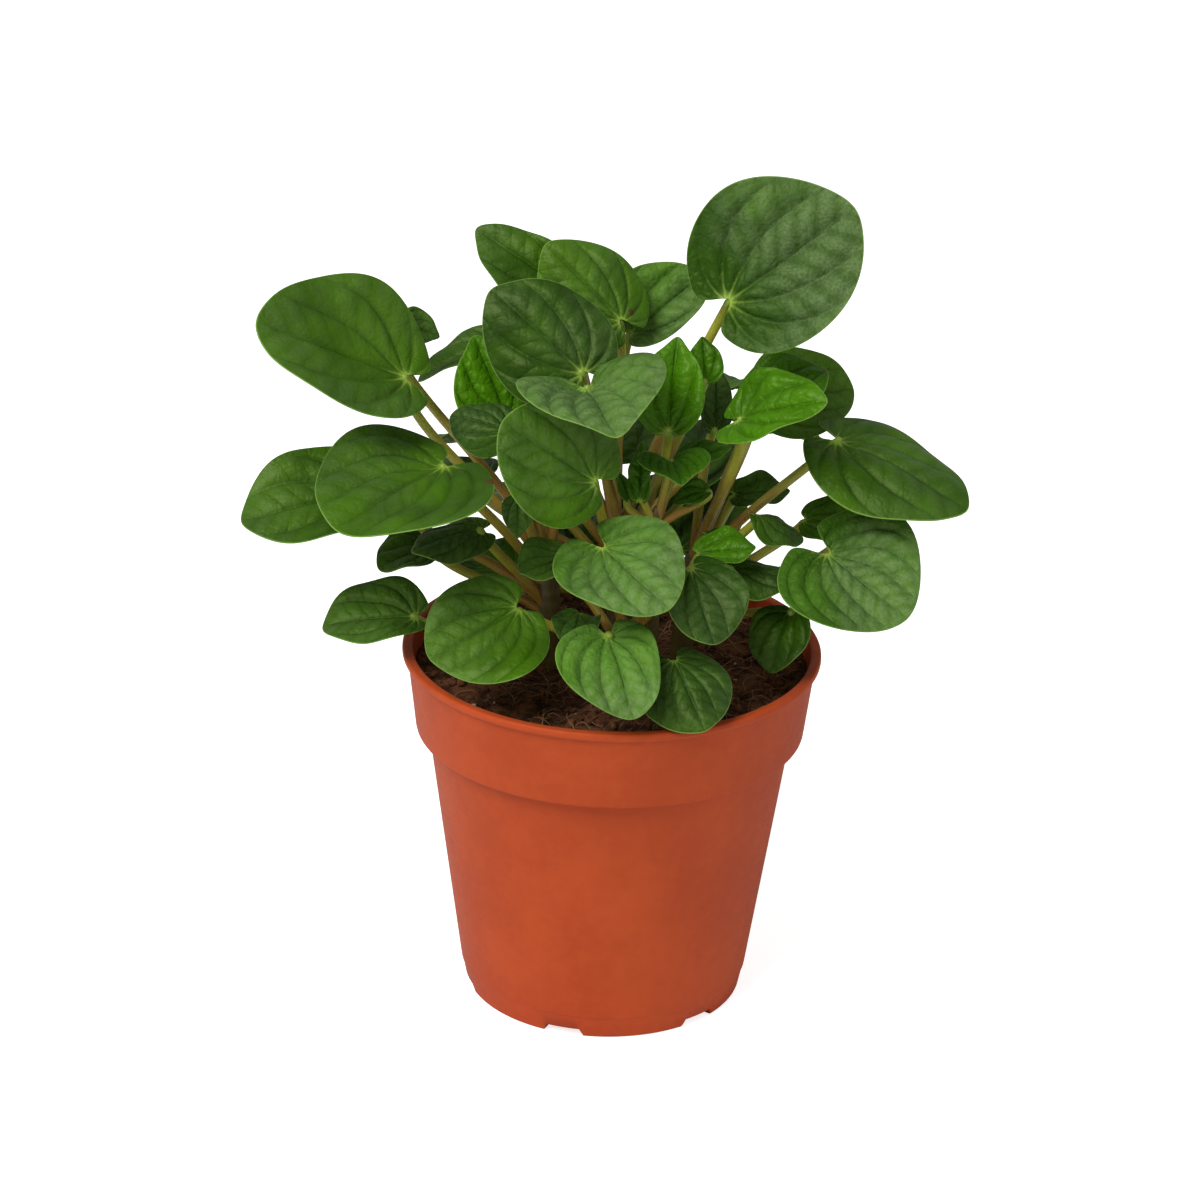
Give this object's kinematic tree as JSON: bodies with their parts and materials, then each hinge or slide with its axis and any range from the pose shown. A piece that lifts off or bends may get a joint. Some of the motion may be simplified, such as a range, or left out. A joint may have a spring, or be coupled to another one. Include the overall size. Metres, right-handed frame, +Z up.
{
  "type": "potted house plant",
  "caption": "Leafy house plant with thick round heart-shaped leaves on slender petioles, in soil in a thin-walled round grow pot.",
  "frame": {"origin": "the pot's axis, in the plane that the feet stand on", "axes": "+Z up along the pot's axis; the plant is seen best from -Y; +X to the right"},
  "size_m": [0.182, 0.1179, 0.2133],
  "materials": {
    "pot": "matte",
    "soil": "matte",
    "petiole": "satin",
    "shoot": "satin",
    "leaf_mature": "satin",
    "leaf_young": "gloss",
    "leaf_frosty": "satin"
  },
  "bodies": {
    "root": {"pot": "pot", "soil": "soil", "stem_left": "petiole", "stem_right": "petiole", "stem_front": "petiole", "stem_back": "petiole", "stem_centre": "petiole", "young_shoot": "shoot", "leaf_top_right": "leaf_frosty", "leaf_top_left": "leaf_mature", "leaf_top_centre": "leaf_mature", "leaf_top_centre_right": "leaf_frosty", "leaf_upper_left": "leaf_mature", "leaf_upper_centre": "leaf_mature", "leaf_bright_left": "leaf_young", "leaf_edge_left": "leaf_mature", "leaf_tip_left": "leaf_mature", "leaf_centre_heart": "leaf_frosty", "leaf_centre_left": "leaf_mature", "leaf_young_tall": "leaf_young", "leaf_young_back": "leaf_young", "leaf_dark_centre": "leaf_mature", "leaf_right_bright": "leaf_young", "leaf_right_upper": "leaf_young", "leaf_right_dark": "leaf_mature", "leaf_far_right": "leaf_mature", "leaf_right_front": "leaf_frosty", "leaf_right_behind": "leaf_mature", "leaf_right_glossy": "leaf_mature", "leaf_right_pale": "leaf_mature", "leaf_right_small": "leaf_young", "leaf_right_ridged": "leaf_mature", "leaf_right_inner": "leaf_mature", "leaf_right_low": "leaf_mature", "leaf_left_middle": "leaf_mature", "leaf_far_left": "leaf_mature", "leaf_left_lower": "leaf_mature", "leaf_left_front": "leaf_mature", "leaf_left_under": "leaf_mature", "leaf_left_dark": "leaf_mature", "leaf_left_inner": "leaf_mature", "leaf_left_hanging": "leaf_mature", "leaf_front_right": "leaf_mature", "leaf_front_centre": "leaf_frosty", "leaf_front_low": "leaf_frosty", "leaf_front_rim": "leaf_mature", "leaf_front_small": "leaf_mature", "leaf_front_dark": "leaf_mature", "leaf_back_high_left": "leaf_mature", "leaf_back_high_right": "leaf_frosty", "leaf_back_top": "leaf_frosty", "leaf_back_upper_left": "leaf_mature", "leaf_back_right": "leaf_mature", "leaf_back_left": "leaf_mature", "leaf_back_mid_right": "leaf_mature", "leaf_back_mid_left": "leaf_mature", "leaf_back_far_right": "leaf_mature", "leaf_back_far_left": "leaf_mature", "leaf_back_low_right": "leaf_mature", "leaf_back_low_left": "leaf_mature"}
  },
  "joints": []
}
